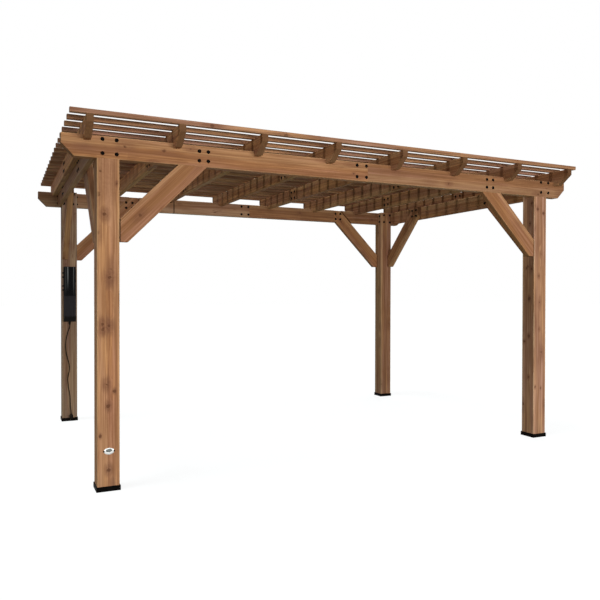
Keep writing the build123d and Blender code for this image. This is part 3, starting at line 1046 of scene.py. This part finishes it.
class PergolaStage(bpy.types.Operator):
    """Set up the floor, the light and the camera"""

    bl_idname = "pergola.set_stage"
    bl_label = "Set Stage"

    def execute(self, context):
        scene = context.scene
        look = scene.pergola_stage
        scene.view_settings.view_transform = "Standard"
        self.lay_floor(scene, look)
        self.light(scene, look)
        self.place_camera(scene, look)
        return {"FINISHED"}

    def seen(self, made):
        """One where the eye, a reflection or a see-through ray looks, and nothing for other light."""
        path = made.add("ShaderNodeLightPath").outputs
        seen = made.math("MAXIMUM", path["Is Camera Ray"], path["Is Glossy Ray"])
        return made.math("MAXIMUM", seen, path["Is Transmission Ray"])

    def lay_floor(self, scene, look):
        made = Finish("floor_paper")
        mottle = made.noise(made.place(), (3.0, 3.0, 3.0), 3.0)
        darker = tuple(part * 0.93 for part in look.floor)
        tone = made.mix(made.fade(mottle, 0.3, 0.7, 0.0, 0.3), look.floor, darker)
        matt = made.add("ShaderNodeBsdfDiffuse", {"Color": tone}).outputs[0]
        glow = made.add("ShaderNodeEmission", {"Strength": FLOOR_GLOW}).outputs[0]
        pale = made.add("ShaderNodeAddShader", {0: matt, 1: glow}).outputs[0]
        dim = made.add("ShaderNodeBsdfDiffuse", {"Color": look.bounce}).outputs[0]
        surface = made.add("ShaderNodeMixShader", {0: self.seen(made), 1: dim, 2: pale}).outputs[0]
        mesh = bpy.data.meshes.new("floor")
        corners = [(FLOOR_REACH * x, FLOOR_REACH * y, 0) for x, y in ((-1, -1), (1, -1), (1, 1), (-1, 1))]
        mesh.from_pydata(corners, [], [(0, 1, 2, 3)])
        mesh.materials.append(made.close(surface))
        floor = bpy.data.objects.new("floor", mesh)
        scene.collection.objects.link(floor)

    def light(self, scene, look):
        made = Finish("studio", "worlds")
        sky = made.add("ShaderNodeBackground", {0: look.sky_tint, 1: look.sky}).outputs[0]
        white = made.add("ShaderNodeBackground", {0: (1.0, 1.0, 1.0), 1: 1.0}).outputs[0]
        backdrop = made.add("ShaderNodeMixShader", {0: self.seen(made), 1: sky, 2: white}).outputs[0]
        scene.world = made.close(backdrop, "ShaderNodeOutputWorld")
        for name, (towards, spread), energy in (
            ("overhead_light", OVERHEAD_SUN, look.overhead),
            ("rear_light", REAR_SUN, look.rim),
        ):
            lamp = bpy.data.lights.new(name, "SUN")
            lamp.energy = energy
            lamp.color = look.overhead_tint
            lamp.angle = math.radians(spread)
            self.hang(scene, lamp, Vector(towards) * SUN_DISTANCE, towards)
        panel = bpy.data.lights.new("front_softbox", "AREA")
        panel.energy = look.key
        panel.shape = "RECTANGLE"
        panel.size, panel.size_y = SOFTBOX_SIZE
        self.hang(scene, panel, SOFTBOX_PLACE, (0, -1, 0))

    def hang(self, scene, lamp, place, towards):
        """Puts a light at a place, with its back turned towards a direction."""
        holder = bpy.data.objects.new(lamp.name, lamp)
        holder.location = place
        holder.rotation_euler = Vector(towards).to_track_quat("Z", "Y").to_euler()
        holder.visible_camera = False
        scene.collection.objects.link(holder)

    def place_camera(self, scene, look):
        lens = bpy.data.cameras.new("photo_camera")
        lens.lens = look.lens
        lens.sensor_width = CAMERA_SENSOR
        lens.clip_end = CAMERA_FAR
        eye = bpy.data.objects.new("photo_camera", lens)
        eye.location = CAMERA_PLACE
        yaw, pitch, roll = (math.radians(angle) for angle in CAMERA_ANGLES)
        turn = Matrix.Rotation(-yaw, 3, "Z") @ Matrix.Rotation(math.pi / 2 + pitch, 3, "X")
        eye.rotation_euler = (turn @ Matrix.Rotation(roll, 3, "Z")).to_euler()
        scene.collection.objects.link(eye)
        scene.camera = eye


SETTINGS = {
    "pergola_timber": PergolaTimberSettings,
    "pergola_hardware": PergolaHardwareSettings,
    "pergola_stage": PergolaStageSettings,
}

OPERATORS = (
    PergolaPosts,
    PergolaBeams,
    PergolaBraces,
    PergolaRafters,
    PergolaSlats,
    PergolaBoots,
    PergolaPowerBox,
    PergolaCord,
    PergolaBolts,
    PergolaSlatScrews,
    PergolaPlate,
    PergolaStage,
)


class VIEW3D_PT_pergola(bpy.types.Panel):
    """Steps that dress the pergola"""

    bl_label = "Pergola"
    bl_space_type = "VIEW_3D"
    bl_region_type = "UI"
    bl_category = "Pergola"

    def draw(self, context):
        layout = self.layout
        for step in OPERATORS:
            layout.operator(step.bl_idname)
        for group, kind in SETTINGS.items():
            box = layout.box()
            for name in kind.__annotations__:
                box.prop(getattr(context.scene, group), name)


CLASSES = (*SETTINGS.values(), *OPERATORS, VIEW3D_PT_pergola)


def register():
    for kind in CLASSES:
        bpy.utils.register_class(kind)
    for name, kind in SETTINGS.items():
        setattr(bpy.types.Scene, name, bpy.props.PointerProperty(type=kind))


def unregister():
    for name in SETTINGS:
        delattr(bpy.types.Scene, name)
    for kind in reversed(CLASSES):
        bpy.utils.unregister_class(kind)


def main():
    register()
    bpy.ops.pergola.set_stage()
    bpy.ops.pergola.hang_cord()
    bpy.ops.pergola.finish_posts()
    bpy.ops.pergola.finish_beams()
    bpy.ops.pergola.finish_braces()
    bpy.ops.pergola.finish_rafters()
    bpy.ops.pergola.finish_slats()
    bpy.ops.pergola.finish_boots()
    bpy.ops.pergola.finish_power_box()
    bpy.ops.pergola.fit_bolts()
    bpy.ops.pergola.drive_slat_screws()
    bpy.ops.pergola.fix_plate()


if __name__ == "__main__":
    main()
